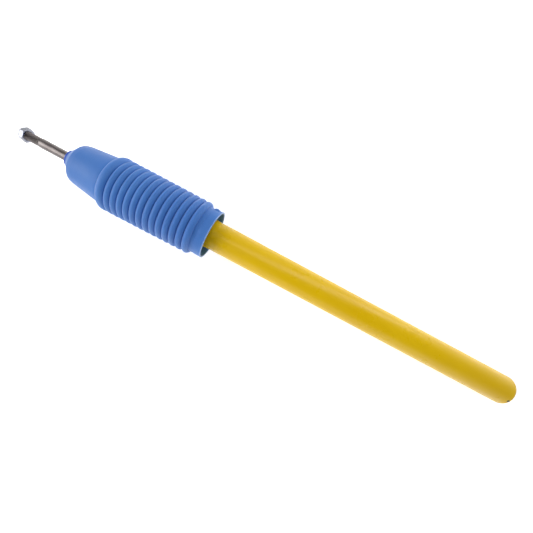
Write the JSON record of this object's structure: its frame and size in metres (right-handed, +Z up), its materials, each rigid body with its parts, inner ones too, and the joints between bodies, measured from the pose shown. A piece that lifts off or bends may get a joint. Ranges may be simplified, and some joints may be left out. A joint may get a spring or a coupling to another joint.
{
  "type": "strut insert",
  "caption": "Upside-down gas strut insert: closed yellow tube, sliding damper under a blue ribbed dust boot, and a threaded mounting pin with its nut.",
  "frame": {"origin": "centre of the outer face of the tube's closed end, on the axis", "axes": "+X along the axis from the closed end to the mounting pin, +Z up as the insert lies on its side"},
  "size_m": [0.781, 0.08, 0.0792],
  "materials": {
    "yellow_paint": "glossy yellow enamel on steel",
    "blue_rubber": "light blue rubber, satin",
    "bare_steel": "bare turned steel, slightly dull",
    "zinc_plate": "bright zinc plate",
    "hard_chrome": "ground hard chrome",
    "aluminium": "turned aluminium",
    "sintered_steel": "sintered steel, matt",
    "bronze": "bronze-backed slide bush",
    "black_rubber": "nitrile rubber",
    "bump_foam": "closed-cell polyurethane foam",
    "band_plastic": "filled plastic slide band",
    "nylon": "natural nylon"
  },
  "bodies": {
    "tube_body": {"outer_tube": "yellow_paint", "end_cap": "yellow_paint", "wiper_cap": "zinc_plate", "wiper_seal": "black_rubber", "upper_bush": "bronze", "lower_bush": "bronze", "piston_rod": "hard_chrome", "rod_lock_nut": "zinc_plate", "rebound_stop": "black_rubber", "lower_support_washer": "bare_steel", "compression_shims": "bare_steel", "piston": "sintered_steel", "rebound_shims": "bare_steel", "upper_support_washer": "bare_steel", "piston_nut": "zinc_plate"},
    "band_body": {"piston_band": "band_plastic"},
    "damper_body": {"damper_tube": "hard_chrome", "rod_guide": "aluminium", "rod_seal": "black_rubber", "guide_o_ring": "black_rubber", "guide_clip": "bare_steel", "top_plug": "bare_steel", "top_pin": "bare_steel", "bump_stop_plate": "zinc_plate", "bump_stop": "bump_foam", "dust_boot": "blue_rubber"},
    "gas_piston_body": {"gas_piston": "aluminium", "gas_piston_o_ring": "black_rubber", "gas_piston_band": "band_plastic"},
    "nut_body": {"hex_nut": "zinc_plate", "nut_lock_ring": "nylon"}
  },
  "joints": [
    {"name": "damper_turn", "type": "hinge", "parent": "tube_body", "child": "band_body", "pos_m": [0.297, 0, 0], "axis": [1, 0, 0], "continuous": true},
    {"name": "damper_stroke", "type": "slide", "parent": "band_body", "child": "damper_body", "axis": [1, 0, 0], "range_m": [-0.119, 0], "stiffness_N_per_m": 300, "springref_m": 0.5},
    {"name": "gas_piston_slide", "type": "slide", "parent": "damper_body", "child": "gas_piston_body", "axis": [1, 0, 0], "range_m": [0, 0.0162]},
    {"name": "nut_turn", "type": "hinge", "parent": "damper_body", "child": "nut_body", "pos_m": [0.7768, 0, 0], "axis": [1, 0, 0], "continuous": true}
  ],
  "couplings": [
    {"joint": "gas_piston_slide", "follows": "damper_stroke", "ratio": -0.1344}
  ]
}
